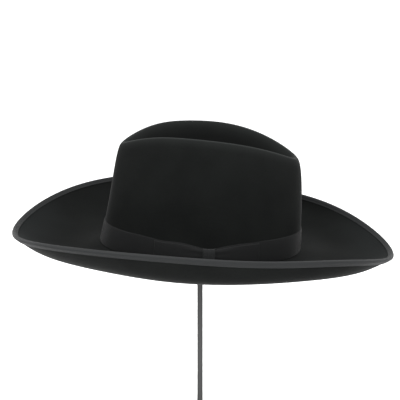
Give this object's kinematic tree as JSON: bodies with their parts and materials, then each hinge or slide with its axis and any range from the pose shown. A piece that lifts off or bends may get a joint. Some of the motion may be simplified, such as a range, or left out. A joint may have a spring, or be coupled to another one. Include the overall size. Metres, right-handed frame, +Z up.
{
  "type": "wide-brim fedora on a display stand",
  "caption": "Black wool-felt fedora with a wide rolled brim, teardrop crown, bound edge and ribbon band with a flat bow, held on a slim post stand with a round base.",
  "frame": {"origin": "middle of the stand's underside, on the surface that it stands on", "axes": "+Z up, the front of the hat towards -X, the wearer's left side with the bow towards -Y"},
  "size_m": [0.3876, 0.3494, 0.3306],
  "materials": {
    "felt": "short-napped wool felt, matt",
    "ribbon": "ribbed grosgrain ribbon, faint sheen",
    "stand_metal": "satin grey"
  },
  "bodies": {
    "root": {"felt_body": "felt", "brim_binding": "ribbon", "hat_band": "ribbon", "bow_loop_front": "ribbon", "bow_loop_back": "ribbon", "bow_knot": "ribbon", "stand_base": "stand_metal", "stand_post": "stand_metal"}
  },
  "joints": []
}
